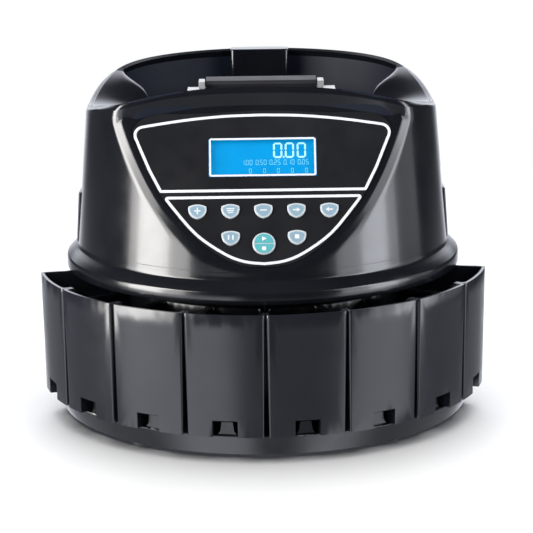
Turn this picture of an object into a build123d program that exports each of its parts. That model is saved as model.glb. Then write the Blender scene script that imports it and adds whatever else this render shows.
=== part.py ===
"""Coin sorting machine: a hopper over a spinning disc, a ring of eight coin bins and a tilted keypad."""
from build123d import *
import os
from math import cos, exp, radians, sin

# Everything is drawn around the spindle (X = Y = 0, front along -Y, feet on Z = 0) and moved back at export.
AXIS_SHIFT = 10.94

# Base and bin ring
BASE_R = 155.0
SHELF_R = 170.0
SHELF_FOOT_R = 161.5
SHELF_END = 24.0
FOOT_H = 3.0
LEDGE_Z = 20.0
PLATE_T = 3.0
COVER_INSET = 3.3
BIN_COUNT = 8
BIN_PITCH = 20.0
BIN_Z = 20.3
BIN_H = 93.2
BIN_BOTTOM_R = 176.0
BIN_INNER_R = 119.0
BIN_WALL = 2.2
BIN_DRAFT = 0.93
BIN_LIP = 9.5
BIN_SIDE_GAP = 1.85
NOTCH_W = 19.0
NOTCH_H = 12.6

# Lower casing and sorting deck
CASING_R = 148.5
DRUM_R = 112.0
CASING_WALL = 2.5
CASING_FRONT_ANGLE = 81.5
DECK_Z = 115.0
DECK_T = 3.0
DECK_R = 148.0
RAIL_R = 141.0
COIN_HOLES = (16.9, 19.4, 20.4, 21.9, 22.9, 23.9, 24.9, 26.4)

# Upper housing
WALL = 2.5
SKIRT_Z = 115.5
SKIRT_R = 156.0
SHOULDER_Z = 124.5
CONE_Z = 131.9
CONE_R = 146.3
TOP_Z = 275.0
TOP_R = 133.9
RIM_Z = 265.0
RIM_DROP = 25.0
RIM_HALF_WIDTH = 136.0
FASCIA_Y = -76.0

# Tilted front panel
PANEL_TILT = 32.0
PANEL_Y = -145.5
PANEL_Z = 138.0
KEY_X = (-49.0, -24.5, 0.0, 24.5, 49.0)
KEY_ROW = 47.9
KEY_LOW_ROW = 26.8
START_ROW = 22.1
START_R = 8.5
LCD_W = 80.0
LCD_H = 30.6
LCD_ROW = 91.2

# Hopper
BOWL_GAP = 0.3
BOWL_WALL = 2.5
BOWL_FRONT_Y = -73.0
FUNNEL_TOP_R = 146.0
FUNNEL_TOP_Z = 216.0
THROAT_R = 62.0
THROAT_Z = 135.0

# Drive
SHAFT_R = 5.0
MOTOR_Y = 72.0
ROTOR_Z = 119.2
PULLEY_Z = 58.0

# Connector bay in the rear wall
INLET_X = -31.0
SWITCH_X = 4.0
PORT_X = 36.0
ROCKER_Y = 134.5
ROCKER_TILT = 8.5
ROCKER_PIN_R = 1.3

# Feed gate and side latches
GATE_Y = -48.0
GATE_Z = 259.0
GATE_PIN_R = 2.0
LATCH_X = 138.5
LATCH_Z = 150.0

# Hinge of the upper housing
HINGE_Y = 152.0
HINGE_Z = 119.0
HINGE_R = 3.6


def radial_plane(heading, radius, z):
    """Plane facing outwards at a heading in degrees from the front, positive towards +X."""
    a = radians(heading)
    return Plane(origin=(radius * sin(a), -radius * cos(a), z), x_dir=(cos(a), sin(a), 0),
                 z_dir=(sin(a), -cos(a), 0))


def panel_plane(lift=0.0):
    """Plane of the tilted front panel, lifted outwards along its normal."""
    a = radians(PANEL_TILT)
    return Plane(origin=(0, PANEL_Y - lift * cos(a), PANEL_Z + lift * sin(a)), x_dir=(1, 0, 0),
                 z_dir=(0, -cos(a), sin(a)))


def bin_heading(index):
    """Heading of the centre of a bin."""
    return (index - (BIN_COUNT - 1) / 2) * BIN_PITCH


def rim_height(x, y):
    """Height of the saddle shaped rim: low at both sides, high in front and behind."""
    side = (abs(x) / RIM_HALF_WIDTH) ** 2.6
    share = 1 + 0.0024 * y if y < 0 else 0.12 + 0.88 * exp(-((y / 58) ** 2))
    return RIM_Z - RIM_DROP * side * share


def above_rim():
    """Solid filling the space above the saddle shaped rim."""
    grid = [[(20.0 * i, 20.0 * j, rim_height(20.0 * i, 20.0 * j)) for j in range(-9, 10)]
            for i in range(-9, 10)]
    points = [[Vector(*p) for p in row] for row in grid]
    return extrude(Face.make_surface_from_array_of_points(points), amount=120, dir=(0, 0, 1))


def housing_form(inset):
    """Outer shape of the upper housing moved inwards by an inset, still open above the rim."""
    with BuildPart() as form:
        with BuildSketch(Plane.XZ):
            with BuildLine():
                Polyline((0, SKIRT_Z - inset), (SKIRT_R - inset, SKIRT_Z - inset),
                         (SKIRT_R - 0.8 - inset, SHOULDER_Z - inset / 2))
                ThreePointArc((SKIRT_R - 0.8 - inset, SHOULDER_Z - inset / 2),
                              (SKIRT_R - 4.9 - inset, CONE_Z - 3.3 - 0.8 * inset),
                              (CONE_R - inset, CONE_Z - inset))
                Polyline((CONE_R - inset, CONE_Z - inset), (TOP_R - inset, TOP_Z + 2), (0, TOP_Z + 2),
                         (0, SKIRT_Z - inset))
            make_face()
        revolve(axis=Axis.Z)
        add(panel_block(inset), mode=Mode.SUBTRACT)
    return form.part


def panel_block(inset):
    """Block taken out of the housing in front of the panel and of the fascia above it."""
    with BuildPart() as block:
        with BuildSketch(panel_plane(-inset)):
            with Locations((0, 120 - inset)):
                Rectangle(400, 240)
        extrude(amount=200)
        with Locations((0, FASCIA_Y + inset - 150, 200)):
            Box(500, 300, 400, mode=Mode.INTERSECT)
    return block.part


def sector(inner_r, outer_r, half_angle, apex):
    """Ring sector centred on the front, with its sides meeting at a distance in front of the spindle."""
    reach = 2 * outer_r
    a = radians(half_angle)
    with BuildSketch() as ring:
        Circle(outer_r)
        Circle(inner_r, mode=Mode.SUBTRACT)
        Polygon((0, -apex), (-reach * sin(a), -apex - reach * cos(a)),
                (reach * sin(a), -apex - reach * cos(a)), align=None, mode=Mode.INTERSECT)
    return ring.sketch


def base_form(inset):
    """Body of the base moved inwards by an inset: a flared shelf under the bins, narrower behind them."""
    height = LEDGE_Z - FOOT_H - inset
    on_base = (Align.CENTER, Align.CENTER, Align.MIN)
    with BuildPart() as form:
        with Locations((0, 0, FOOT_H)):
            Cone(SHELF_FOOT_R - inset, SHELF_R - inset, height, align=on_base)
        with Locations((0, 200 - SHELF_END - inset, FOOT_H)):
            Box(400, 400, height, align=on_base, mode=Mode.SUBTRACT)
        with Locations((0, 0, FOOT_H)):
            Cylinder(BASE_R - inset, height, align=on_base)
    return form.part


def make_base_plate():
    with BuildPart() as base_plate:
        add(base_form(0))
        fillet(base_plate.faces().sort_by(Axis.Z)[-1].edges(), radius=1.0)
        add(base_form(PLATE_T), mode=Mode.SUBTRACT)
        for index in range(BIN_COUNT):
            with BuildSketch(radial_plane(bin_heading(index), 122, LEDGE_Z - 0.5)):
                Polygon((-7.5, 0), (7.5, 0), (5.2, 3), (4.2, 10), (-4.2, 10), (-5.2, 3), align=None)
            extrude(amount=SHELF_R - 2.5 - 122)
        with BuildSketch(Plane.XY.offset(LEDGE_Z - 0.5)):
            with Locations((-97, 30), (-97, 80), (-53, 30), (-53, 80)):
                Circle(3)
        extrude(amount=10.5)
        with BuildSketch(Plane.XY.offset(FOOT_H + 2)):
            with PolarLocations(140, 6, start_angle=30):
                Circle(5)
        extrude(amount=13)
    return base_plate.part


def make_bottom_cover():
    with BuildPart() as bottom_cover:
        with BuildSketch(Plane.XY.offset(FOOT_H)):
            Circle(SHELF_FOOT_R - COVER_INSET)
            with Locations((0, -200 - SHELF_END - COVER_INSET)):
                Rectangle(400, 400, mode=Mode.INTERSECT)
            Circle(BASE_R - COVER_INSET)
            with GridLocations(14, 9, 7, 5):
                SlotOverall(10, 4, mode=Mode.SUBTRACT)
        extrude(amount=2)
    return bottom_cover.part


def make_rubber_feet():
    with BuildPart() as rubber_feet:
        with BuildSketch():
            with GridLocations(186, 239, 2, 2):
                Circle(8)
        extrude(amount=FOOT_H)
        fillet(rubber_feet.faces().sort_by(Axis.Z)[:4].edges(), radius=0.8)
    return rubber_feet.part


def make_base_screws():
    with BuildPart() as base_screws:
        with BuildSketch(Plane.XY.offset(FOOT_H - 1.6)):
            with PolarLocations(140, 6, start_angle=30):
                Circle(3.2)
        extrude(amount=1.6)
        with BuildSketch(Plane.XY.offset(FOOT_H - 1.6)):
            with PolarLocations(140, 6, start_angle=30):
                Rectangle(3.6, 0.8)
                Rectangle(0.8, 3.6)
        extrude(amount=0.8, mode=Mode.SUBTRACT)
    return base_screws.part


def casing_outline(inset):
    """Plan of the lower casing: a drum behind the bins and a full radius wall around the rear."""
    a = radians(CASING_FRONT_ANGLE)
    reach = 400
    apex = inset / sin(a)
    with BuildSketch() as plan:
        Circle(CASING_R - inset)
        Polygon((0, apex), (-reach * sin(a), apex - reach * cos(a)), (-reach, -reach), (reach, -reach),
                (reach * sin(a), apex - reach * cos(a)), align=None, mode=Mode.SUBTRACT)
        Circle(DRUM_R - inset)
    return plan.sketch


def make_lower_casing():
    height = DECK_Z - LEDGE_Z
    with BuildPart() as lower_casing:
        with BuildSketch(Plane.XY.offset(LEDGE_Z)):
            add(casing_outline(0))
        extrude(amount=height)
        with BuildSketch(Plane.XY.offset(LEDGE_Z)):
            add(casing_outline(CASING_WALL))
        extrude(amount=height, mode=Mode.SUBTRACT)
        # recessed connector bay in the rear wall
        with BuildSketch(Plane.XY.offset(30)):
            Circle(CASING_R)
            with Locations((0, 141.5)):
                Rectangle(106, 16, mode=Mode.INTERSECT)
        extrude(amount=50)
        with Locations((0, 148, 55)):
            Box(100, 23, 44, mode=Mode.SUBTRACT)
        with Locations((INLET_X, 135, 54), (SWITCH_X, 135, 54)):
            Box(27, 6, 20, mode=Mode.SUBTRACT)
        with Locations((PORT_X, 135, 54)):
            Box(18.4, 6, 16.4, mode=Mode.SUBTRACT)
        # ventilation slots on both rear quarters
        for heading in range(114, 151, 4):
            for side in (-1, 1):
                with BuildSketch(radial_plane(side * heading, CASING_R - 6, 92)):
                    SlotOverall(24, 3.2, rotation=90)
                extrude(amount=12, mode=Mode.SUBTRACT)
    return lower_casing.part


def make_sorting_deck():
    with BuildPart() as sorting_deck:
        with BuildSketch(Plane.XY.offset(DECK_Z)):
            Circle(DECK_R)
        extrude(amount=DECK_T)
        with BuildSketch(Plane.XY.offset(95)):
            Circle(15)
        extrude(amount=20)
        with BuildSketch(Plane.XY.offset(DECK_Z)):
            for index, size in enumerate(COIN_HOLES):
                with Locations(radial_plane(bin_heading(index), RAIL_R - size / 2, 0).origin):
                    Circle(size / 2)
        extrude(amount=DECK_T, mode=Mode.SUBTRACT)
        with BuildSketch(Plane.XY.offset(95)):
            Circle(11)
        extrude(amount=12, mode=Mode.SUBTRACT)
        with BuildSketch(Plane.XY.offset(95)):
            Circle(SHAFT_R + 1)
        extrude(amount=30, mode=Mode.SUBTRACT)
    return sorting_deck.part


def make_coin_rail():
    with BuildPart() as coin_rail:
        with BuildSketch(Plane.XY.offset(DECK_Z + DECK_T)):
            Circle(RAIL_R + 3)
            Circle(RAIL_R, mode=Mode.SUBTRACT)
        extrude(amount=5.5)
        chamfer(coin_rail.faces().sort_by(Axis.Z)[-1].edges(), length=0.6)
    return coin_rail.part


def make_coin_sensors():
    """Optical coin counters hanging under the deck beside each hole."""
    with BuildPart() as coin_sensors:
        for index in range(BIN_COUNT):
            with BuildSketch(radial_plane(bin_heading(index), DRUM_R - 12, 109)):
                Rectangle(9, 11.99)
            extrude(amount=8)
    return coin_sensors.part


def make_bearing_post():
    with BuildPart() as bearing_post:
        with BuildSketch(Plane.XY.offset(LEDGE_Z)):
            Circle(26)
        extrude(amount=4)
        with BuildSketch(Plane.XY.offset(LEDGE_Z)):
            Circle(15.5)
        extrude(amount=30)
        with BuildSketch(Plane.XY.offset(LEDGE_Z + 18)):
            Circle(11)
        extrude(amount=12, mode=Mode.SUBTRACT)
        with BuildSketch(Plane.XY.offset(LEDGE_Z + 3)):
            Circle(SHAFT_R + 1)
        extrude(amount=20, mode=Mode.SUBTRACT)
        fillet(bearing_post.edges().filter_by(GeomType.CIRCLE).sort_by(Axis.Z)[-1], radius=0.5)
    return bearing_post.part


def make_shaft_bearings():
    with BuildPart() as shaft_bearings:
        with BuildSketch(Plane.XY.offset(LEDGE_Z + 18), Plane.XY.offset(96)):
            Circle(11)
            Circle(SHAFT_R + 0.04, mode=Mode.SUBTRACT)
        extrude(amount=9)
    return shaft_bearings.part


def make_rotor_shaft():
    with BuildPart() as rotor_shaft:
        with BuildSketch(Plane.XY.offset(LEDGE_Z + 5)):
            Circle(SHAFT_R)
        extrude(amount=ROTOR_Z - LEDGE_Z - 5 + 9)
        chamfer(rotor_shaft.edges().filter_by(GeomType.CIRCLE), length=0.6)
    return rotor_shaft.part


def make_rotor_pulley():
    with BuildPart() as rotor_pulley:
        with BuildSketch(Plane.XY.offset(PULLEY_Z)):
            Circle(33)
        extrude(amount=12)
        with BuildSketch(Plane.XY.offset(PULLEY_Z + 1.5)):
            Circle(33)
            Circle(30, mode=Mode.SUBTRACT)
        extrude(amount=9, mode=Mode.SUBTRACT)
        with BuildSketch(Plane.XY.offset(PULLEY_Z)):
            Circle(SHAFT_R)
            with PolarLocations(18, 5):
                Circle(6)
        extrude(amount=12, mode=Mode.SUBTRACT)
    return rotor_pulley.part


def make_coin_rotor():
    """Feed disc with radial finger ribs that push the coins around the deck."""
    with BuildPart() as coin_rotor:
        with BuildSketch(Plane.XY.offset(ROTOR_Z)):
            Circle(112)
        extrude(amount=2.4)
        with BuildSketch(Plane.XY.offset(ROTOR_Z)):
            with PolarLocations(118, 16):
                Rectangle(18, 7)
        extrude(amount=2.4)
        with BuildSketch(Plane.XY.offset(ROTOR_Z + 2)):
            with PolarLocations(76, 8):
                SlotOverall(56, 4)
        extrude(amount=2)
        with BuildSketch(Plane.XY.offset(ROTOR_Z)):
            Circle(20)
        extrude(amount=9)
        with BuildSketch(Plane.XY.offset(ROTOR_Z)):
            Circle(SHAFT_R)
        extrude(amount=9, mode=Mode.SUBTRACT)
    return coin_rotor.part


def make_rotor_cap():
    with BuildPart() as rotor_cap:
        with BuildSketch(Plane.XZ):
            with BuildLine():
                Polyline((4, ROTOR_Z + 21), (0, ROTOR_Z + 21), (0, ROTOR_Z + 9), (20, ROTOR_Z + 9),
                         (20, ROTOR_Z + 11))
                ThreePointArc((20, ROTOR_Z + 11), (13, ROTOR_Z + 17.8), (4, ROTOR_Z + 21))
            make_face()
        revolve(axis=Axis.Z)
    return rotor_cap.part


def make_drive_motor():
    with BuildPart() as drive_motor:
        with BuildSketch(Plane.XY.offset(24)):
            with Locations((0, MOTOR_Y)):
                Circle(21)
        extrude(amount=29)
        with BuildSketch(Plane.XY.offset(53)):
            with Locations((0, MOTOR_Y)):
                Circle(7)
                Circle(3.05, mode=Mode.SUBTRACT)
        extrude(amount=3)
        with BuildSketch(Plane.XY.offset(40)):
            with Locations((0, MOTOR_Y)):
                Circle(3.05)
        extrude(amount=16, mode=Mode.SUBTRACT)
    return drive_motor.part


def make_motor_bracket():
    with BuildPart() as motor_bracket:
        with BuildSketch(Plane.XY.offset(53)):
            with Locations((0, MOTOR_Y)):
                Rectangle(60, 40)
                Circle(7.0, mode=Mode.SUBTRACT)
        extrude(amount=2)
        with BuildSketch(Plane.XY.offset(LEDGE_Z)):
            with Locations((-29, MOTOR_Y), (29, MOTOR_Y)):
                Rectangle(2, 40)
        extrude(amount=34)
        with BuildSketch(Plane.XY.offset(LEDGE_Z)):
            with Locations((-35, MOTOR_Y), (35, MOTOR_Y)):
                Rectangle(14, 40)
        extrude(amount=2)
    return motor_bracket.part


def make_motor_pulley():
    with BuildPart() as motor_pulley:
        with BuildSketch(Plane.XY.offset(PULLEY_Z)):
            with Locations((0, MOTOR_Y)):
                Circle(14)
        extrude(amount=12)
        with BuildSketch(Plane.XY.offset(PULLEY_Z + 1.5)):
            with Locations((0, MOTOR_Y)):
                Circle(15)
                Circle(12, mode=Mode.SUBTRACT)
        extrude(amount=9, mode=Mode.SUBTRACT)
        with BuildSketch(Plane.XY.offset(42)):
            with Locations((0, MOTOR_Y)):
                Circle(3)
        extrude(amount=31)
    return motor_pulley.part


def belt_loop(gap):
    """Open belt path around both pulleys at a gap from their grooves."""
    with BuildSketch() as loop:
        with BuildLine():
            big = CenterArc((0, 0), 30 + gap, 0, 360)
            small = CenterArc((0, MOTOR_Y), 12 + gap, 0, 360)
        make_hull([big.edge(), small.edge()])
    return loop.sketch


def make_drive_belt():
    with BuildPart() as drive_belt:
        with BuildSketch(Plane.XY.offset(PULLEY_Z + 2.5)):
            add(belt_loop(1.9))
            add(belt_loop(0.3), mode=Mode.SUBTRACT)
        extrude(amount=7)
    return drive_belt.part


def make_main_board():
    with BuildPart() as main_board:
        with Locations((-75, 55, 30.8)):
            Box(56, 64, 1.6)
        with Locations((-85, 45, 33), (-62, 70, 33)):
            Box(14, 14, 3)
        with Locations((-60, 40, 36), (-92, 72, 36)):
            Cylinder(5, 9)
        with Locations((-75, 83, 35)):
            Box(30, 7, 7)
    return main_board.part


def make_power_transformer():
    with BuildPart() as power_transformer:
        with Locations((78, 58, 42)):
            Box(50, 34, 38)
        with Locations((78, 58, 42)):
            Box(30, 48, 26)
        with Locations((78, 58, 21.5)):
            Box(50, 60, 3)
    return power_transformer.part


def make_power_inlet():
    """Three pin appliance inlet in the connector bay."""
    with BuildPart() as power_inlet:
        with Locations((INLET_X, 131.3, 54)):
            Box(26.6, 18, 19.6)
        with Locations((INLET_X, 139.4, 54)):
            Box(30, 2.4, 23)
        with Locations((INLET_X, 136, 54)):
            Box(21, 12, 13.5, mode=Mode.SUBTRACT)
        with Locations((INLET_X - 7, 133.5, 52), (INLET_X, 133.5, 56), (INLET_X + 7, 133.5, 52)):
            Box(2, 8, 4)
    return power_inlet.part


def make_switch_body():
    with BuildPart() as switch_body:
        with Locations((SWITCH_X, 131.3, 54)):
            Box(26.6, 18, 19.6)
        with Locations((SWITCH_X, 139.2, 54)):
            Box(28, 2.4, 22)
        with Locations((SWITCH_X, 137, 54)):
            Box(22, 12, 15, mode=Mode.SUBTRACT)
        with Locations((SWITCH_X, ROCKER_Y, 54)):
            Cylinder(ROCKER_PIN_R + 0.15, 17.6, mode=Mode.SUBTRACT)
    return switch_body.part


def make_power_rocker():
    a = radians(ROCKER_TILT)
    rocker_plane = Plane(origin=(SWITCH_X, ROCKER_Y, 54 - 7), x_dir=(cos(a), sin(a), 0), z_dir=(0, 0, 1))
    with BuildPart() as power_rocker:
        with BuildSketch(rocker_plane):
            Polygon((-8, 0), (8, 0), (8.6, 6.6), (0, 5.2), (-8.6, 6.6), align=None)
        extrude(amount=14)
        with Locations((SWITCH_X, ROCKER_Y, 54)):
            Cylinder(ROCKER_PIN_R, 16.8)
    return power_rocker.part


def make_printer_port():
    with BuildPart() as printer_port:
        with Locations((PORT_X, 131.3, 54)):
            Box(18, 18, 16)
        with Locations((PORT_X, 139.1, 54)):
            Box(24, 2, 19)
        with Locations((PORT_X, 137, 54)):
            Box(12, 12, 9, mode=Mode.SUBTRACT)
    return printer_port.part


def make_hinge_leaf():
    with BuildPart() as hinge_leaf:
        with BuildSketch(Plane.XY.offset(96)):
            Circle(CASING_R + 2.2)
            Circle(CASING_R, mode=Mode.SUBTRACT)
            with Locations((0, 150)):
                Rectangle(40, 30, mode=Mode.INTERSECT)
        extrude(amount=HINGE_Z - 96)
        with BuildSketch(Plane.YZ.offset(-20)):
            with Locations((HINGE_Y, HINGE_Z)):
                Circle(HINGE_R)
        extrude(amount=40)
        with BuildSketch(Plane.YZ.offset(-20)):
            with Locations((HINGE_Y, HINGE_Z)):
                Circle(1.6)
        extrude(amount=40, mode=Mode.SUBTRACT)
    return hinge_leaf.part


def make_hinge_pin():
    with BuildPart() as hinge_pin:
        with BuildSketch(Plane.YZ.offset(-34)):
            with Locations((HINGE_Y, HINGE_Z)):
                Circle(1.6)
        extrude(amount=68)
    return hinge_pin.part


def shield(scale=0.0):
    """Shield outline of a small key, grown by a margin."""
    w = 6.6 + scale
    with BuildSketch() as outline:
        with BuildLine():
            ThreePointArc((-w, 4.0 + scale), (0, 5.7 + scale), (w, 4.0 + scale))
            ThreePointArc((w, 4.0 + scale), (w - 0.9, -2.0 - scale / 2), (0, -5.8 - scale))
            ThreePointArc((0, -5.8 - scale), (0.9 - w, -2.0 - scale / 2), (-w, 4.0 + scale))
        make_face()
    return outline.sketch


def key_places():
    """Panel coordinates of the seven shield keys."""
    top = [(x, KEY_ROW) for x in KEY_X]
    return top + [(KEY_X[1], KEY_LOW_ROW), (KEY_X[3], KEY_LOW_ROW)]


def panel_openings(margin):
    """Outlines of the display and key openings in the panel."""
    with BuildSketch() as holes:
        with Locations((0, LCD_ROW)):
            Rectangle(LCD_W + 2 * margin, LCD_H + 2 * margin)
        for place in key_places():
            with Locations(place):
                add(shield(margin))
        with Locations((0, START_ROW)):
            Circle(START_R + margin)
    return holes.sketch


def make_upper_housing():
    with BuildPart() as upper_housing:
        add(housing_form(0))
        add(housing_form(WALL), mode=Mode.SUBTRACT)
        with BuildSketch(Plane.YZ.offset(-34)):
            with Locations((HINGE_Y, HINGE_Z)):
                Circle(HINGE_R)
        extrude(amount=68)
        with Locations((0, HINGE_Y, HINGE_Z)):
            Box(40.8, 12, 9.4, mode=Mode.SUBTRACT)
        with BuildSketch(Plane.YZ.offset(-34.5)):
            with Locations((HINGE_Y, HINGE_Z)):
                Circle(1.65)
        extrude(amount=69, mode=Mode.SUBTRACT)
        add(above_rim(), mode=Mode.SUBTRACT)
        with BuildSketch(panel_plane(-WALL - 1)):
            add(panel_openings(0.35))
        extrude(amount=WALL + 3, mode=Mode.SUBTRACT)
        with Locations((-145, 0, 153), (145, 0, 153)):
            Box(14, 27, 41, mode=Mode.SUBTRACT)
    return upper_housing.part


def make_panel_overlay():
    """Thin printed sheet on the tilted panel."""
    edge = ((0, 4.5), (26.4, 9.5), (47, 24.5), (62.5, 42.4), (76, 62), (86.5, 82), (95.5, 107), (97, 114))
    with BuildPart() as panel_overlay:
        with BuildSketch(panel_plane()):
            with BuildLine():
                Spline(*edge)
                Spline((97, 114), (92, 121), (60, 126.4), (0, 128.5), (-60, 126.4), (-92, 121), (-97, 114))
                Spline(*[(-x, y) for x, y in reversed(edge)])
            make_face()
            add(panel_openings(0.35), mode=Mode.SUBTRACT)
        extrude(amount=0.6)
    return panel_overlay.part


def make_display_window():
    with BuildPart() as display_window:
        with BuildSketch(panel_plane(-2.2)):
            with Locations((0, LCD_ROW)):
                Rectangle(LCD_W, LCD_H)
        extrude(amount=2.4)
    return display_window.part


def make_lcd_module():
    with BuildPart() as lcd_module:
        with BuildSketch(panel_plane(-10)):
            with Locations((0, LCD_ROW)):
                Rectangle(LCD_W + 6, LCD_H + 5)
        extrude(amount=7.4)
    return lcd_module.part


def make_display_board():
    with BuildPart() as display_board:
        with BuildSketch(panel_plane(-11.6)):
            with Locations((0, 74)):
                Rectangle(116, 74)
            with Locations((0, 25)):
                Rectangle(64, 26)
        extrude(amount=1.6)
    return display_board.part


def make_key_switches():
    with BuildPart() as key_switches:
        with BuildSketch(panel_plane(-10)):
            with Locations(*key_places(), (0, START_ROW)):
                Rectangle(6, 6)
        extrude(amount=4.5)
    return key_switches.part


def make_shield_key(place):
    with BuildPart() as shield_key:
        with BuildSketch(panel_plane(-4.2)):
            with Locations(place):
                add(shield(1.0))
        extrude(amount=1.3)
        with BuildSketch(panel_plane(-4.2)):
            with Locations(place):
                add(shield())
        extrude(amount=6.1)
        chamfer(shield_key.faces().sort_by(Axis((0, 0, 0), tuple(panel_plane().z_dir)))[-1].edges(), length=0.5)
    return shield_key.part


def make_start_key():
    with BuildPart() as start_key:
        with BuildSketch(panel_plane(-4.2)):
            with Locations((0, START_ROW)):
                Circle(START_R + 1)
        extrude(amount=1.3)
        with BuildSketch(panel_plane(-4.2)):
            with Locations((0, START_ROW)):
                Circle(START_R)
        extrude(amount=6.3)
        chamfer(start_key.edges().filter_by(GeomType.CIRCLE).sort_by(Axis.Z)[-1], length=0.6)
    return start_key.part


def funnel(drop):
    """Space above the sloping floor of the hopper, lowered by a drop."""
    with BuildPart() as space:
        with BuildSketch(Plane.XZ):
            Polygon((0, THROAT_Z - drop - 12), (THROAT_R + drop / 2, THROAT_Z - drop - 12),
                    (THROAT_R + drop / 2, THROAT_Z - drop), (FUNNEL_TOP_R, FUNNEL_TOP_Z - drop),
                    (FUNNEL_TOP_R, TOP_Z + 5), (0, TOP_Z + 5), align=None)
        revolve(axis=Axis.Z)
    return space.part


def hopper_space(inset, drop):
    """Room inside the hopper, bounded by the housing form, a flat front wall and the funnel."""
    with BuildPart() as room:
        add(housing_form(inset))
        with Locations((0, BOWL_FRONT_Y + inset - BOWL_GAP - WALL + 250, 200)):
            Box(500, 500, 400, mode=Mode.INTERSECT)
        add(funnel(drop), mode=Mode.INTERSECT)
    return room.part


def make_hopper_bowl():
    with BuildPart() as hopper_bowl:
        add(hopper_space(WALL + BOWL_GAP, BOWL_WALL * 1.4))
        add(hopper_space(WALL + BOWL_GAP + BOWL_WALL, 0), mode=Mode.SUBTRACT)
        with Locations((0, 0, THROAT_Z - 22)):
            Box(400, 400, 30, mode=Mode.SUBTRACT)
        add(above_rim(), mode=Mode.SUBTRACT)
        with Locations((0, 0, THROAT_Z)):
            Cylinder(THROAT_R, 40, mode=Mode.SUBTRACT)
    return hopper_bowl.part


def make_rear_pillar():
    """Hollow guide box standing on the rear slope of the hopper, just above the rim."""
    with BuildPart() as rear_pillar:
        with BuildSketch(Plane.XY.offset(212)):
            with Locations((0, 126)):
                RectangleRounded(48, 26, radius=3)
        extrude(amount=54.5)
        with BuildSketch(Plane.XY.offset(211)):
            with Locations((0, 126)):
                Rectangle(43, 21)
        extrude(amount=53, mode=Mode.SUBTRACT)
        add(housing_form(WALL + BOWL_GAP + BOWL_WALL), mode=Mode.INTERSECT)
        chamfer(rear_pillar.faces().sort_by(Axis.Z)[-1].edges(), length=0.8)
    return rear_pillar.part


def make_gate_bearings():
    """Pair of arms from the hopper front wall that carry the feed gate."""
    with BuildPart() as gate_bearings:
        for side in (-1, 1):
            with Locations((side * 45.2, -50.5, 257.5)):
                Box(4.6, 15, 18)
            with Locations((side * 51.5, -60.5, 256)):
                Box(9, 20, 11)
        with BuildSketch(Plane.YZ.offset(-60)):
            with Locations((GATE_Y, GATE_Z)):
                Circle(GATE_PIN_R)
        extrude(amount=120, mode=Mode.SUBTRACT)
    return gate_bearings.part


def make_gate_pin():
    with BuildPart() as gate_pin:
        with BuildSketch(Plane.YZ.offset(-47.4)):
            with Locations((GATE_Y, GATE_Z)):
                Circle(GATE_PIN_R)
        extrude(amount=94.8)
    return gate_pin.part


def make_feed_gate():
    """Hinged bar with a hanging flap that meters the coins."""
    with BuildPart() as feed_gate:
        with BuildSketch(Plane.YZ.offset(-42.3)):
            Polygon((-53, 254), (-53, 263.5), (-50.5, 266), (-29, 266), (-27, 264), (-27, 260), (-40, 254),
                    (-44, 216), (-47, 216), (-46, 254), align=None)
        extrude(amount=84.6)
        with BuildSketch(Plane.YZ.offset(-43)):
            with Locations((GATE_Y, GATE_Z)):
                Circle(GATE_PIN_R + 0.05)
        extrude(amount=86, mode=Mode.SUBTRACT)
    return feed_gate.part


def make_side_latch(side):
    """Pressed at its upper end, the latch tilts about its pin and its tail swings outwards."""
    with BuildPart() as side_latch:
        with BuildSketch(Plane.XZ.offset(-13)):
            Polygon((side * 141, 133.2), (side * 147.8, 133.2), (side * 145.6, 169.5), (side * 143.6, 173),
                    (side * 141, 173), align=None)
        extrude(amount=26)
        with Locations((side * 104.5, 0, 133)):
            Cone(43.3, 40.6, 42, align=(Align.CENTER, Align.CENTER, Align.MIN), mode=Mode.INTERSECT)
        with Locations((side * LATCH_X, 0, 139.5)):
            Box(6, 16, 29)
        with BuildSketch(Plane.XZ.offset(-14)):
            with Locations((side * LATCH_X, LATCH_Z)):
                Circle(1.55)
        extrude(amount=28, mode=Mode.SUBTRACT)
        with BuildSketch(Plane.YZ.offset(side * 144)):
            with Locations((0, 168)):
                Circle(1.6)
        extrude(amount=side * 3, mode=Mode.SUBTRACT)
    return side_latch.part


def make_latch_pins():
    """Pivot pins of the side latches with their ears behind the housing wall."""
    with BuildPart() as latch_pins:
        for side in (-1, 1):
            with BuildSketch(Plane.XZ.offset(-12.5)):
                with Locations((side * LATCH_X, LATCH_Z)):
                    Circle(1.5)
            extrude(amount=25)
            with Locations((side * (LATCH_X - 1.6), 13, LATCH_Z), (side * (LATCH_X - 1.6), -13, LATCH_Z)):
                Box(6.6, 7, 7)
            with Locations((side * (LATCH_X - 1.1), 15.1, LATCH_Z), (side * (LATCH_X - 1.1), -15.1, LATCH_Z)):
                Box(7, 2.8, 7)
    return latch_pins.part


def lip_space(index):
    """Space that lowers the walls of a bin behind its front lip, sparing the outer side of an end bin."""
    foot_z = BIN_Z + BIN_H - BIN_LIP
    spared = BIN_SIDE_GAP + BIN_WALL
    with BuildPart() as space:
        with Locations((0, 0, foot_z)):
            Cone(160, 171, 12, align=(Align.CENTER, Align.CENTER, Align.MIN))
        side = {0: -1, BIN_COUNT - 1: 1}.get(index)
        if side:
            with Locations(Location((0, 0, foot_z), (0, 0, side * BIN_PITCH / 2))):
                with Locations((side * (60 - spared), -140, 0)):
                    Box(120, 120, 40, mode=Mode.SUBTRACT)
    return space.part


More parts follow.
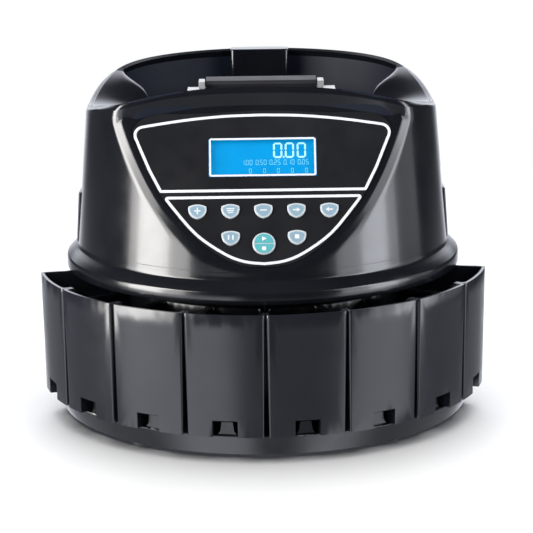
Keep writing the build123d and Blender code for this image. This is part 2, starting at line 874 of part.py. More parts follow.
def make_bin(index):
    """Open coin bin with a tapered sector plan and a tunnel over its guide rib."""
    half = BIN_PITCH / 2
    apex = BIN_SIDE_GAP / sin(radians(half))
    with BuildPart() as coin_bin:
        with BuildSketch(Plane.XY.offset(BIN_Z)) as plan:
            add(sector(BIN_INNER_R, BIN_BOTTOM_R, half, apex))
            fillet(plan.vertices(), radius=1.2)
        extrude(amount=BIN_H, taper=-BIN_DRAFT)
        with BuildSketch(Plane.XY.offset(BIN_Z + BIN_WALL)) as hollow:
            add(sector(BIN_INNER_R + BIN_WALL, BIN_BOTTOM_R - BIN_WALL, half,
                       apex + BIN_WALL / sin(radians(half))))
            fillet(hollow.vertices(), radius=1.5)
        extrude(amount=BIN_H, taper=-BIN_DRAFT, mode=Mode.SUBTRACT)
        with BuildSketch(Plane.XY.offset(BIN_Z)):
            with Locations((0, -(BIN_INNER_R + BIN_BOTTOM_R) / 2)):
                Rectangle(NOTCH_W + 2 * BIN_WALL, BIN_BOTTOM_R - BIN_INNER_R - 2)
        extrude(amount=NOTCH_H + BIN_WALL)
        with BuildSketch(Plane.XY.offset(BIN_Z)):
            with Locations((0, -BIN_BOTTOM_R)):
                Rectangle(NOTCH_W, 200)
        extrude(amount=NOTCH_H, mode=Mode.SUBTRACT)
        add(lip_space(index), mode=Mode.SUBTRACT)
    return coin_bin.part.rotate(Axis.Z, bin_heading(index))


def make_board_screws():
    """Screw heads on the back of the display board."""
    with BuildPart() as board_screws:
        with BuildSketch(panel_plane(-13.4)):
            with Locations((-50, 104), (50, 104), (-50, 44), (50, 44)):
                Circle(2.8)
        extrude(amount=1.8)
    return board_screws.part


def save(label, part):
    """Move a finished piece back to the middle of the footprint and write its STEP file."""
    piece = part.moved(Location((0, AXIS_SHIFT, 0)))
    piece.label = label
    export_step(piece, f"parts/{label}.step")


def main():
    os.makedirs("parts", exist_ok=True)
    pieces = {
        "base_plate": make_base_plate(),
        "bottom_cover": make_bottom_cover(),
        "rubber_feet": make_rubber_feet(),
        "base_screws": make_base_screws(),
        "lower_casing": make_lower_casing(),
        "sorting_deck": make_sorting_deck(),
        "coin_rail": make_coin_rail(),
        "coin_sensors": make_coin_sensors(),
        "bearing_post": make_bearing_post(),
        "shaft_bearings": make_shaft_bearings(),
        "rotor_shaft": make_rotor_shaft(),
        "rotor_pulley": make_rotor_pulley(),
        "coin_rotor": make_coin_rotor(),
        "rotor_cap": make_rotor_cap(),
        "drive_motor": make_drive_motor(),
        "motor_bracket": make_motor_bracket(),
        "motor_pulley": make_motor_pulley(),
        "drive_belt": make_drive_belt(),
        "main_board": make_main_board(),
        "power_transformer": make_power_transformer(),
        "power_inlet": make_power_inlet(),
        "switch_body": make_switch_body(),
        "power_rocker": make_power_rocker(),
        "printer_port": make_printer_port(),
        "hinge_leaf": make_hinge_leaf(),
        "hinge_pin": make_hinge_pin(),
        "upper_housing": make_upper_housing(),
        "panel_overlay": make_panel_overlay(),
        "display_window": make_display_window(),
        "lcd_module": make_lcd_module(),
        "display_board": make_display_board(),
        "key_switches": make_key_switches(),
        "key_start": make_start_key(),
        "hopper_bowl": make_hopper_bowl(),
        "rear_pillar": make_rear_pillar(),
        "gate_bearings": make_gate_bearings(),
        "gate_pin": make_gate_pin(),
        "feed_gate": make_feed_gate(),
        "side_latch_left": make_side_latch(-1),
        "side_latch_right": make_side_latch(1),
        "latch_pins": make_latch_pins(),
        "board_screws": make_board_screws(),
    }
    for number, place in enumerate(key_places(), start=1):
        pieces[f"key_{number}"] = make_shield_key(place)
    for index in range(BIN_COUNT):
        pieces[f"bin_{index + 1}"] = make_bin(index)
    for label, part in pieces.items():
        save(label, part)


main()
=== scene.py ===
"""Looks of the coin sorting machine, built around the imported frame."""
import bpy
import bmesh
from math import acos, atan2, cos, exp, hypot, pi, radians, sin, tan
from mathutils import Matrix, Vector


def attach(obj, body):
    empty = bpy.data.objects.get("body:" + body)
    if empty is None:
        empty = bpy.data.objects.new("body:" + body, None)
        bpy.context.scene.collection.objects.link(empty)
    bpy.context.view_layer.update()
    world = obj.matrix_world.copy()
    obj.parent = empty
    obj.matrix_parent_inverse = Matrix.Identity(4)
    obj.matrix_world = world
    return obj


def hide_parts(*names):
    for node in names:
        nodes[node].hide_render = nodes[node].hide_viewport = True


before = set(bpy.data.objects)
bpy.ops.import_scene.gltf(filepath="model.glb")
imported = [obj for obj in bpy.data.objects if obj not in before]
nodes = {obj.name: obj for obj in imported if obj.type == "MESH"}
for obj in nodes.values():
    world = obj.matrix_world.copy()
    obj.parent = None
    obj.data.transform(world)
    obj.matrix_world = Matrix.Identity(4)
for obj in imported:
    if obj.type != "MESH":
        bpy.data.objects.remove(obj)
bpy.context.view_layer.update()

# The object's sizes are in millimetres around the spindle, which stands AXIS_SHIFT behind the frame's origin.
# The floor, the lamps and the camera's distance are in metres.
MM = 0.001
AXIS_SHIFT = 10.94

# Conical wall of the upper housing: radius at a height, and how fast it narrows upwards
CONE_Z, CONE_R, CONE_SLOPE = 131.9, 146.3, 12.4 / 145.1
# Tilted front panel: where its foot lies, and its lean from upright
PANEL_TILT = radians(32)
PANEL_Y, PANEL_Z = -145.5, 138.0
# Saddle shaped rim, which drops towards both sides
RIM_Z, RIM_DROP, RIM_HALF_WIDTH, RIM_POWER = 265.0, 25.0, 136.0, 2.6
RIM_FRONT_FADE, RIM_REAR_SHARE, RIM_REAR_FADE = 0.0024, 0.12, 58
# Upright fascia between the panel and the rim
FASCIA_HEIGHT, FASCIA_LEAN = 14.0, 0.2
# Strip that bevels the edge between the panel and the wall
BEVEL_SHARE = 0.65
BEVEL_DEPTHS = ((138, 0), (145, 0.6), (155, 0.9), (165, 1.3), (200, 1.75), (225, 2.2), (245, 2.5))
# How softly the panel, the bevel and the fascia run into one another
BEVEL_BLEND, FASCIA_BLEND, CREASE_BELOW, CREASE_ABOVE = 0.6, 15, 0.5, 2.5
# Headings with a smaller cosine are outside the front, where the panel and the fascia lie
FRONT_COSINE = 0.15
# Skirt and shoulder below the cone, as (radius, height) from the inner foot outwards and up
SKIRT = ((153.4, 117.5), (153.4, 115.9), (153.8, 115.5), (154.9, 115.5), (155.4, 115.8), (155.55, 116.5),
         (155.5, 119.8), (155.35, 123.2), (155.2, 124.0), (154.9, 124.7), (154.4, 125.2), (152.2, 127.3),
         (149.8, 129.3), (147.4, 131.1), (146.9, 131.6), (146.5, 132.2), (146.2, 133.2))
# Heights of the first rows of the cone, up to the foot of the panel
CONE_FOOT = (135.0, 136.5, 137.6, 138.0)
# Rim edge as (inward, down) from the outer wall to its ridge: at the front and rear, and at the side wings
THIN_RIM = ((0, 4.4), (0.7, 2.8), (1.9, 1.1), (2.9, 0))
BROAD_RIM = ((0, 2.8), (0.5, 1.3), (1.7, 0.4), (3.6, 0))
# Thickness of the shell, and how low its inner face reaches
SHELL, SHELL_FOOT_Z = 3.2, 116.2
# Round throat under the hopper's funnel
THROAT_R, THROAT_Z, FUNNEL_SLOPE = 62.0, 135.0, 81.0 / 84.0

# Front panel layout: places across it and up its slope
KEY_X = (-49.0, -24.5, 0.0, 24.5, 49.0)
KEY_ROW, KEY_LOW_ROW, START_ROW, START_R = 47.9, 26.8, 22.1, 8.5
LCD_W, LCD_H, LCD_ROW = 80.0, 30.6, 91.2
OPENING_GAP = 0.35
HINGE_Y, HINGE_Z = 152.0, 119.0
HINGE_GAP_W, HINGE_GAP_D, HINGE_GAP_H = 40.8, 12, 9.4

# Columns of the housing's right half, counted from the middle of the panel to the rear, and rows of its panel
PANEL_COLS, BEVEL_COLS, WALL_COLS = 44, 8, 84
HALF_COLS = PANEL_COLS + BEVEL_COLS + WALL_COLS + 1
COLS = 2 * HALF_COLS - 2
PANEL_ROWS, ROUGH_CREASE_Z = 64, 250.0


def at(x, y, z):
    """Point of the frame, in metres, from millimetres around the spindle."""
    return Vector((x, y + AXIS_SHIFT, z)) * MM


def on_panel(x, s, lift=0.0):
    """Point of the tilted panel: x across, s up the slope, lift along its normal."""
    y = PANEL_Y + s * sin(PANEL_TILT) - lift * cos(PANEL_TILT)
    z = PANEL_Z + s * cos(PANEL_TILT) + lift * sin(PANEL_TILT)
    return at(x, y, z)


def lerp(a, b, t):
    """Value a share t of the way from a to b."""
    return a + (b - a) * t


def ramp(x, stops):
    """Piecewise linear value through (x, value) stops."""
    if x <= stops[0][0]:
        return stops[0][1]
    for (x0, v0), (x1, v1) in zip(stops, stops[1:]):
        if x <= x1:
            return lerp(v0, v1, (x - x0) / (x1 - x0))
    return stops[-1][1]


def smooth(x, lo, hi):
    """Value that eases from 0 at lo to 1 at hi."""
    t = min(max((x - lo) / (hi - lo), 0.0), 1.0)
    return t * t * (3 - 2 * t)


def soft_min(a, b, k):
    """Smaller of two values, rounded off where they come within k of each other."""
    h = max(k - abs(a - b), 0.0) / k
    return min(a, b) - h * h * k / 4


# ---------------------------------------------------------------- materials

# Colour sockets of a mix node
COLOUR_A, COLOUR_B, COLOUR_RESULT = 6, 7, 2

# How fine the colour patches, the worn specks and the smears of every surface are
MOTTLE_SCALE, SPECK_SCALE, SMEAR_SCALE = 14, 126, 37.8


def node_material(name):
    """New node material with its tree and shader."""
    mat = bpy.data.materials.new(name)
    mat.use_nodes = True
    return mat, mat.node_tree, mat.node_tree.nodes["Principled BSDF"]


def link(tree, a, out, b, into):
    """Wire one node's output into another node's input."""
    tree.links.new(a.outputs[out], b.inputs[into])


def noise(tree, scale, detail=3.0, rough=0.5, stretch=(1, 1, 1)):
    """Noise texture fixed to the object."""
    coords = tree.nodes.new("ShaderNodeTexCoord")
    mapping = tree.nodes.new("ShaderNodeMapping")
    mapping.inputs["Scale"].default_value = stretch
    tex = tree.nodes.new("ShaderNodeTexNoise")
    tex.inputs["Scale"].default_value = scale
    tex.inputs["Detail"].default_value = detail
    tex.inputs["Roughness"].default_value = rough
    link(tree, coords, "Object", mapping, "Vector")
    link(tree, mapping, "Vector", tex, "Vector")
    return tex


def remap(tree, texture, low, high, from_low=0.3, from_high=0.7):
    """Range of a noise texture stretched to run from low to high."""
    node = tree.nodes.new("ShaderNodeMapRange")
    node.inputs["From Min"].default_value = from_low
    node.inputs["From Max"].default_value = from_high
    node.inputs["To Min"].default_value = low
    node.inputs["To Max"].default_value = high
    link(tree, texture, "Fac", node, "Value")
    return node


def scaled(colour, factor, lift=0.0):
    """Opaque colour made darker or lighter."""
    return [min(c * factor + lift, 1) for c in colour[:3]] + [1]


def colour_mix(tree, share, low, high):
    """Mix of two colours by a share node; low is a colour or an earlier mix."""
    mix = tree.nodes.new("ShaderNodeMix")
    mix.data_type = "RGBA"
    if isinstance(low, list):
        mix.inputs[COLOUR_A].default_value = low
    else:
        link(tree, low, COLOUR_RESULT, mix, COLOUR_A)
    mix.inputs[COLOUR_B].default_value = high
    link(tree, share, "Result", mix, 0)
    return mix


def surface(name, colour, rough=(0.3, 0.4), metal=0.0, grain=(900, 0.05), tint=0.12, coat=0.0,
            specular=0.5, stretch=(1, 1, 1), wear=0.0):
    """Procedural material: mottled colour, uneven roughness, fine grain bump and light wear."""
    mat, tree, shader = node_material(name)
    mottled = remap(tree, noise(tree, MOTTLE_SCALE, 4, 0.6), 0, 1)
    shown = colour_mix(tree, mottled, scaled(colour, 1 - tint), scaled(colour, 1 + tint, 0.002))
    if wear:
        specks = remap(tree, noise(tree, SPECK_SCALE, 6, 0.7), 0, wear, 0.62, 0.75)
        shown = colour_mix(tree, specks, shown, scaled(colour, 1.6, 0.03))
    link(tree, shown, COLOUR_RESULT, shader, "Base Color")
    smears = remap(tree, noise(tree, SMEAR_SCALE, 5, 0.65, stretch), *rough)
    link(tree, smears, "Result", shader, "Roughness")
    grain_scale, grain_strength = grain
    bump = tree.nodes.new("ShaderNodeBump")
    bump.inputs["Strength"].default_value = grain_strength
    bump.inputs["Distance"].default_value = 0.0004
    link(tree, noise(tree, grain_scale, 2, 0.5, stretch), "Fac", bump, "Height")
    link(tree, bump, "Normal", shader, "Normal")
    shader.inputs["Metallic"].default_value = metal
    shader.inputs["Coat Weight"].default_value = coat
    shader.inputs["Coat Roughness"].default_value = 0.08
    shader.inputs["Specular IOR Level"].default_value = specular
    return mat


def glowing(name, colour, strength):
    """Back-lit surface with a slightly uneven glow."""
    mat, tree, shader = node_material(name)
    level = remap(tree, noise(tree, 60, 2), strength * 0.85, strength)
    shader.inputs["Base Color"].default_value = scaled(colour, 0.3)
    shader.inputs["Emission Color"].default_value = scaled(colour, 1)
    link(tree, level, "Result", shader, "Emission Strength")
    shader.inputs["Roughness"].default_value = 0.3
    shader.inputs["Specular IOR Level"].default_value = 0.05
    return mat


def glass(name):
    """Clear, slightly smeared display window."""
    mat, tree, shader = node_material(name)
    smears = remap(tree, noise(tree, 40, 3), 0.04, 0.1)
    link(tree, smears, "Result", shader, "Roughness")
    shader.inputs["Base Color"].default_value = (0.01, 0.02, 0.03, 1)
    shader.inputs["Alpha"].default_value = 0.05
    return mat


HOUSING = surface("housing_blue_black", (0.0022, 0.0027, 0.0042), (0.15, 0.22), grain=(1400, 0.03),
                  coat=0.2, wear=0.1)
HOPPER = surface("hopper_matt_navy", (0.0045, 0.0065, 0.0125), (0.45, 0.55), grain=(1500, 0.06),
                 specular=0.16)
BIN = surface("bin_satin_black", (0.0052, 0.0057, 0.0082), (0.18, 0.26), grain=(1700, 0.06), wear=0.1)
BASE = surface("base_satin_black", (0.0052, 0.0056, 0.0072), (0.17, 0.25), grain=(1700, 0.08), wear=0.15)
PANEL = surface("panel_film", (0.0030, 0.0031, 0.0042), (0.32, 0.42), grain=(2200, 0.03))
WHITE_INK = surface("white_ink", (0.42, 0.43, 0.45), (0.45, 0.6), grain=(2500, 0.03), tint=0.03)
KEY = surface("key_blue_grey", (0.13, 0.20, 0.245), (0.35, 0.5), grain=(2600, 0.12), tint=0.06)
START = surface("start_turquoise", (0.050, 0.235, 0.25), (0.25, 0.35), grain=(2600, 0.05), tint=0.06)
KEY_RIM = surface("key_rim_pale", (0.30, 0.33, 0.35), (0.3, 0.45), grain=(2600, 0.05), tint=0.04)
STEEL = surface("steel_brushed", (0.55, 0.55, 0.57), (0.25, 0.4), metal=1.0, grain=(700, 0.1),
                stretch=(1, 1, 20))
ALUMINIUM = surface("aluminium_satin", (0.62, 0.63, 0.65), (0.3, 0.45), metal=1.0, grain=(900, 0.12))
SHEET = surface("sheet_painted", (0.05, 0.05, 0.055), (0.4, 0.55), grain=(600, 0.25), wear=0.3)
RUBBER = surface("rubber_black", (0.012, 0.012, 0.012), (0.7, 0.85), grain=(500, 0.3))
ROTOR = surface("rotor_black", (0.02, 0.02, 0.022), (0.3, 0.45), grain=(1200, 0.08), wear=0.35)
# Pale grey on the gate's bearing blocks is painted highlight: it stands in for the light that their glossy
# black plastic reflects
PAINTED_HIGHLIGHT_GREY = surface("bearing_painted_highlight", (0.24, 0.245, 0.25), (0.4, 0.55), grain=(1500, 0.1), tint=0.06)
GATE = surface("gate_grey_black", (0.010, 0.010, 0.012), (0.5, 0.6), grain=(1500, 0.08), specular=0.2)
CONNECTOR = surface("connector_black", (0.006, 0.006, 0.0065), (0.35, 0.5), grain=(1200, 0.1))
BOARD = surface("board_green", (0.01, 0.11, 0.05), (0.3, 0.45), grain=(300, 0.2), tint=0.2)
PULLEY = surface("pulley_white", (0.6, 0.6, 0.57), (0.4, 0.55), grain=(900, 0.1))
TRANSFORMER = surface("transformer_grey", (0.12, 0.12, 0.125), (0.35, 0.5), metal=0.6, grain=(400, 0.3))
SENSOR = surface("sensor_black", (0.015, 0.015, 0.016), (0.4, 0.6), grain=(1200, 0.1))
GLOW = glowing("display_blue", (0.0, 0.37, 0.85), 0.52)
SEGMENT = glowing("segment_pale", (0.42, 0.86, 0.93), 0.95)
FAINT_SEGMENT = glowing("segment_faint", (0.16, 0.62, 0.84), 0.9)
WINDOW = glass("display_glass")
FLOOR = surface("floor_pale", (0.86, 0.86, 0.86), (0.6, 0.7), grain=(40, 0.02), tint=0.01)

NODE_LOOKS = {
    "base_plate": BASE, "lower_casing": BASE, "bottom_cover": SHEET, "rubber_feet": RUBBER,
    "base_screws": STEEL, "sorting_deck": ALUMINIUM, "coin_rail": STEEL, "coin_sensors": SENSOR,
    "bearing_post": SENSOR, "shaft_bearings": STEEL, "rotor_shaft": STEEL, "rotor_pulley": PULLEY,
    "coin_rotor": ROTOR, "rotor_cap": ROTOR, "drive_motor": STEEL, "motor_bracket": SHEET,
    "motor_pulley": PULLEY, "drive_belt": RUBBER, "main_board": BOARD, "power_transformer": TRANSFORMER,
    "power_inlet": CONNECTOR, "switch_body": CONNECTOR, "power_rocker": CONNECTOR, "printer_port": CONNECTOR,
    "hinge_leaf": SHEET, "hinge_pin": STEEL, "panel_overlay": PANEL, "lcd_module": GLOW,
    "display_window": WINDOW, "display_board": BOARD, "board_screws": STEEL, "key_switches": SENSOR,
    "key_start": KEY_RIM, "rear_pillar": HOUSING, "gate_bearings": PAINTED_HIGHLIGHT_GREY, "gate_pin": STEEL,
    "feed_gate": GATE, "side_latch_left": BIN, "side_latch_right": BIN, "latch_pins": STEEL,
}
NODE_LOOKS.update((f"bin_{index}", BIN) for index in range(1, 9))
NODE_LOOKS.update((f"key_{index}", KEY_RIM) for index in range(1, 8))

for node, material in NODE_LOOKS.items():
    nodes[node].data.materials.clear()
    nodes[node].data.materials.append(material)


# ---------------------------------------------------------------- mesh helpers

def new_object(name, points, faces, sharp=None):
    """Object from points in metres. A sharp angle in degrees welds it and shades it smooth up to that."""
    mesh = bpy.data.meshes.new(name)
    mesh.from_pydata([tuple(p) for p in points], [], faces)
    build = bmesh.new()
    build.from_mesh(mesh)
    if sharp is not None:
        bmesh.ops.remove_doubles(build, verts=build.verts, dist=2e-6)
        bmesh.ops.dissolve_degenerate(build, edges=build.edges, dist=1e-6)
    bmesh.ops.recalc_face_normals(build, faces=build.faces)
    if sharp is not None:
        for face in build.faces:
            face.smooth = True
        for edge in build.edges:
            if len(edge.link_faces) == 2 and edge.calc_face_angle(0) > radians(sharp):
                edge.smooth = False
    build.to_mesh(mesh)
    build.free()
    made = bpy.data.objects.new(name, mesh)
    bpy.context.scene.collection.objects.link(made)
    return made


def make_piece(name, shape, material, body, replaced=(), sharp=30):
    """Visible piece from a shape of points and faces, riding on a body."""
    piece = new_object(name, *shape, sharp)
    piece.data.materials.append(material)
    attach(piece, body)
    if replaced:
        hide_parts(*replaced)
    return piece


def mirrored(row):
    """Full loop of columns from a right half: right side forwards, left side backwards."""
    left = [(-phi, r, z) for phi, r, z in row[1:-1]]
    return row + left[::-1]


def loops_shape(loops, closed):
    """Shape through loops of (heading, radius, height); a closed one joins its last loop to its first."""
    points = [at(r * sin(phi), -r * cos(phi), z) for loop in loops for phi, r, z in loop]
    faces = []
    for low in range(len(loops) if closed else len(loops) - 1):
        first, above = low * COLS, (low + 1) % len(loops) * COLS
        for column in range(COLS):
            beside = (column + 1) % COLS
            faces.append((first + column, first + beside, above + beside, above + column))
    return points, faces


# ---------------------------------------------------------------- housing shape

def cone_r(z):
    """Radius of the conical wall at a height."""
    return CONE_R - (z - CONE_Z) * CONE_SLOPE


def rim_z(x, y):
    """Height of the rim, whose drop towards the sides fades to the front and, faster, to the rear."""
    if y < 0:
        share = 1 + RIM_FRONT_FADE * y
    else:
        share = lerp(RIM_REAR_SHARE, 1, exp(-((y / RIM_REAR_FADE) ** 2)))
    return RIM_Z - RIM_DROP * (abs(x) / RIM_HALF_WIDTH) ** RIM_POWER * share


def panel_y(z):
    """Depth of the panel's plane at a height."""
    return PANEL_Y + (z - PANEL_Z) * tan(PANEL_TILT)


def bevel_depth(z):
    """How far the bevel lies inside the mix of panel and wall at a height."""
    return ramp(z, BEVEL_DEPTHS)


def outer_r(phi, z, crease_z):
    """Radius of the housing at a heading, with the panel plane below crease_z and an upright fascia above."""
    wall = cone_r(z)
    if z < PANEL_Z or cos(phi) < FRONT_COSINE:
        return wall
    flat_z = min(z, crease_z)
    flat = -panel_y(flat_z) / cos(phi)
    slant = lerp(flat, wall, BEVEL_SHARE) - bevel_depth(flat_z)
    bevelled = soft_min(soft_min(wall, slant, BEVEL_BLEND), flat, BEVEL_BLEND)
    fascia = (FASCIA_LEAN * max(z - crease_z, 0) - panel_y(flat_z)) / cos(phi)
    above = smooth(z, crease_z - CREASE_BELOW, crease_z + CREASE_ABOVE)
    return lerp(bevelled, soft_min(wall, fascia, FASCIA_BLEND), above)


def crease_of(phi, z_rim):
    """Height where the panel ends under the fascia at a heading, starting from a rim height there."""
    z = z_rim - FASCIA_HEIGHT
    if cos(phi) < FRONT_COSINE:
        return z
    for _ in range(6):
        r = min(cone_r(z), -panel_y(z) / cos(phi))
        z = rim_z(r * sin(phi), -r * cos(phi)) - FASCIA_HEIGHT
    return z


known_rims = {}


def rim_of(phi):
    """Rim height and outer radius at a heading, kept once found because every row asks for them."""
    key = round(phi, 5)
    if key not in known_rims:
        z = RIM_Z
        for _ in range(12):
            r = outer_r(phi, z, crease_of(phi, z))
            z = rim_z(r * sin(phi), -r * cos(phi))
        known_rims[key] = z, r
    return known_rims[key]


def bevel_heading(z, sign):
    """Heading where the bevel meets the panel (sign -1) or the wall (sign 1)."""
    share = BEVEL_SHARE if sign < 0 else 1 - BEVEL_SHARE
    ratio = -panel_y(z) / (cone_r(z) + sign * bevel_depth(z) / share)
    return acos(ratio) if ratio < 1 and z > PANEL_Z else 0.0


def heading_at(column, z):
    """Heading of a column at a height; columns stay on both edges of the bevel and spread to the rear."""
    inner, outer = bevel_heading(z, -1), bevel_heading(z, 1)
    if column < PANEL_COLS:
        return inner * column / PANEL_COLS
    if column < PANEL_COLS + BEVEL_COLS:
        return lerp(inner, outer, (column - PANEL_COLS) / BEVEL_COLS)
    t = (column - PANEL_COLS - BEVEL_COLS) / WALL_COLS
    return lerp(outer, pi, t * (0.6 + 0.4 * t))


def panel_row(share):
    """Half row a share of the way from the foot of the panel up to its crease with the fascia."""
    row = []
    for column in range(HALF_COLS):
        z = lerp(PANEL_Z, ROUGH_CREASE_Z, share)
        for _ in range(10):
            phi = heading_at(column, z)
            crease_z = crease_of(phi, rim_of(phi)[0])
            z = lerp(PANEL_Z, crease_z, share)
        row.append((phi, outer_r(phi, z, crease_z), z))
    return row


def wing(phi):
    """Share of the broad, sloping side wing in the hopper at a heading."""
    degrees_round = abs(phi) * 180 / pi
    return smooth(degrees_round, 55, 70) * (1 - smooth(degrees_round, 110, 124))


def between(thin, broad, phi):
    """Profile mixed from a thin and a broad one by the share of the wing at a heading."""
    w = wing(phi)
    return [(lerp(a[0], b[0], w), lerp(a[1], b[1], w)) for a, b in zip(thin, broad)]


def housing_rows():
    """Half rows of (heading, radius, height) from the skirt to the rim's ridge, and the last headings."""
    base = [heading_at(column, PANEL_Z) for column in range(HALF_COLS)]
    rows = [[(phi, r, z) for phi in base] for r, z in SKIRT]
    rows += [[(phi, cone_r(z), z) for phi in base] for z in CONE_FOOT]
    rows += [panel_row((i / PANEL_ROWS) ** 1.7) for i in range(1, PANEL_ROWS + 1)]
    crown = [phi for phi, _, _ in rows[-1]]
    for lift in (0.15, 0.35, 0.55, 0.66):
        row = []
        for phi in crown:
            z_top, _ = rim_of(phi)
            crease_z = crease_of(phi, z_top)
            z = lerp(crease_z, z_top, lift)
            row.append((phi, outer_r(phi, z, crease_z), z))
        rows.append(row)
    for step in range(len(THIN_RIM)):
        row = []
        for phi in crown:
            z_top, _ = rim_of(phi)
            inward, down = between(THIN_RIM, BROAD_RIM, phi)[step]
            z = z_top - down
            row.append((phi, outer_r(phi, z, crease_of(phi, z_top)) - inward, z))
        rows.append(row)
    return rows, crown


def make_housing(rows):
    """Upper housing: its outer rows, and every sixth of them again further in as the inside of the shell."""
    loops = [mirrored(row) for row in rows]
    loops += [[(phi, r - SHELL, max(z - 1.5, SHELL_FOOT_Z)) for phi, r, z in loop] for loop in loops[::-6]]
    return make_piece("housing_shell", loops_shape(loops, closed=True), HOUSING, "upper_body",
                      ["upper_housing"], sharp=24)


half_rows, crown_headings = housing_rows()
housing = make_housing(half_rows)

# ---------------------------------------------------------------- hopper bowl

def bowl_profile(phi):
    """(radius, height) points from the ridge of the rim down the hopper to its throat."""
    z_top, r_top = rim_of(phi)
    ridge = (r_top - between(THIN_RIM, BROAD_RIM, phi)[-1][0], z_top)
    wall_r = r_top - 7.0
    foot_z = THROAT_Z + (wall_r - THROAT_R) * FUNNEL_SLOPE
    steep = [ridge, (r_top - 3.3, z_top - 0.2), (r_top - 3.8, z_top - 1.0), (r_top - 4.2, z_top - 6),
             (r_top - 5.0, z_top - 18), (r_top - 6.2, z_top - 34), (wall_r, lerp(foot_z, z_top - 34, 0.15))]
    steep += [(lerp(wall_r, THROAT_R, t), lerp(foot_z, THROAT_Z, t)) for t in (0.08, 0.5)]
    slope = [ridge, (r_top - 12, z_top - 0.3), (r_top - 20, z_top - 0.9), (r_top - 28, z_top - 2.4),
             (r_top - 36, z_top - 6.5), (r_top - 43, z_top - 17), (r_top - 50, z_top - 40),
             (r_top - 56, z_top - 66), (lerp(r_top - 60, THROAT_R, 0.5), 150)]
    throat = [(THROAT_R + 1, THROAT_Z + 1), (THROAT_R, THROAT_Z - 1), (THROAT_R, THROAT_Z - 7)]
    return between(steep, slope, phi) + throat


def rounded(profile, steps=4):
    """Catmull-Rom curve through profile points."""
    out = []
    last = len(profile) - 1
    for i in range(last):
        corners = [profile[max(i - 1, 0)], profile[i], profile[i + 1], profile[min(i + 2, last)]]
        for step in range(steps):
            t = step / steps
            point = []
            for p0, p1, p2, p3 in zip(*corners):
                point.append(0.5 * (2 * p1 + (p2 - p0) * t + (2 * p0 - 5 * p1 + 4 * p2 - p3) * t * t
                                    + (3 * p1 - p0 - 3 * p2 + p3) * t ** 3))
            out.append(tuple(point))
    out.append(profile[-1])
    return out


def make_bowl(headings):
    """Hopper bowl with a little thickness, in housing plastic where its side wings meet the rim."""
    columns = [[(phi, r, z) for r, z in rounded(bowl_profile(phi))] for phi in headings]
    loops = [mirrored(list(row)) for row in zip(*columns)]
    bowl = make_piece("hopper_inner", loops_shape(loops, closed=False), HOPPER, "upper_body",
                      ["hopper_bowl"], sharp=50)
    thick = bowl.modifiers.new("thickness", "SOLIDIFY")
    thick.thickness = 0.0012
    thick.offset = -1
    bowl.data.materials.append(HOUSING)
    for face in bowl.data.polygons:
        x, y, z = (c / MM for c in face.center)
        phi = atan2(x, AXIS_SHIFT - y)
        if wing(phi) > 0.35 and z > rim_of(phi)[0] - 14:
            face.material_index = 1


make_bowl(crown_headings)

# ---------------------------------------------------------------- carried-over nodes

def soften(node, width):
    """Rounded edges on a carried-over node, so that they catch the light."""
    piece = nodes[node]
    weld = piece.modifiers.new("weld", "WELD")
    weld.merge_threshold = 2e-6
    edge = piece.modifiers.new("edges", "BEVEL")
    edge.width = width
    edge.segments = 2
    edge.limit_method = "ANGLE"
    edge.angle_limit = radians(38)
    edge.harden_normals = True


for index in range(1, 9):
    soften(f"bin_{index}", 0.0005)
for node in ("feed_gate", "gate_bearings", "side_latch_left", "side_latch_right"):
    soften(node, 0.0004)
soften("rear_pillar", 0.0011)


# ---------------------------------------------------------------- outlines on the front panel

def prisms(outlines, low, high):
    """Closed slabs standing on the panel between two lifts, one per outline of (x, s) points."""
    points, faces = [], []
    for outline in outlines:
        n, first = len(outline), len(points)
        points += [on_panel(x, s, low) for x, s in outline] + [on_panel(x, s, high) for x, s in outline]
        faces.append(tuple(range(first, first + n)))
        faces.append(tuple(range(first + n, first + 2 * n)))
        for i in range(n):
            j = (i + 1) % n
            faces.append((first + i, first + j, first + n + j, first + n + i))
    return points, faces


def ribbons(loops, width, low, high):
    """Flat strips of even width along closed loops of (x, s) points."""
    points, faces = [], []
    for loop in loops:
        n, first = len(loop), len(points)
        for i in range(n):
            before, here, after = (Vector(loop[k % n]) for k in (i - 1, i, i + 1))
            ua, ub = (here - before).normalized(), (after - here).normalized()
            along = (ua + ub).normalized()
            out = Vector((-along.y, along.x)) * width / 2 / max(along.dot(ub), 0.5)
            inner, outer = here - out, here + out
            points += [on_panel(*inner, low), on_panel(*inner, high), on_panel(*outer, high),
                       on_panel(*outer, low)]
        for i in range(n):
            a, b = first + 4 * i, first + 4 * ((i + 1) % n)
            faces += [(a + k, a + (k + 1) % 4, b + (k + 1) % 4, b + k) for k in range(4)]
    return points, faces


def arc(a, b, c, steps):
    """Points of the circle arc from a through b towards c, without c."""
    (ax, ay), (bx, by), (cx, cy) = a, b, c
    aa, bb, cc = ax * ax + ay * ay, bx * bx + by * by, cx * cx + cy * cy
    d = 2 * (ax * (by - cy) + bx * (cy - ay) + cx * (ay - by))
    ux = (aa * (by - cy) + bb * (cy - ay) + cc * (ay - by)) / d
    uy = (aa * (cx - bx) + bb * (ax - cx) + cc * (bx - ax)) / d
    start, mid, end = (atan2(y - uy, x - ux) for x, y in (a, b, c))
    turn = (end - start) % (2 * pi)
    if (mid - start) % (2 * pi) > turn:
        turn -= 2 * pi
    r = hypot(ax - ux, ay - uy)
    angles = [start + turn * i / steps for i in range(steps)]
    return [(ux + r * cos(angle), uy + r * sin(angle)) for angle in angles]


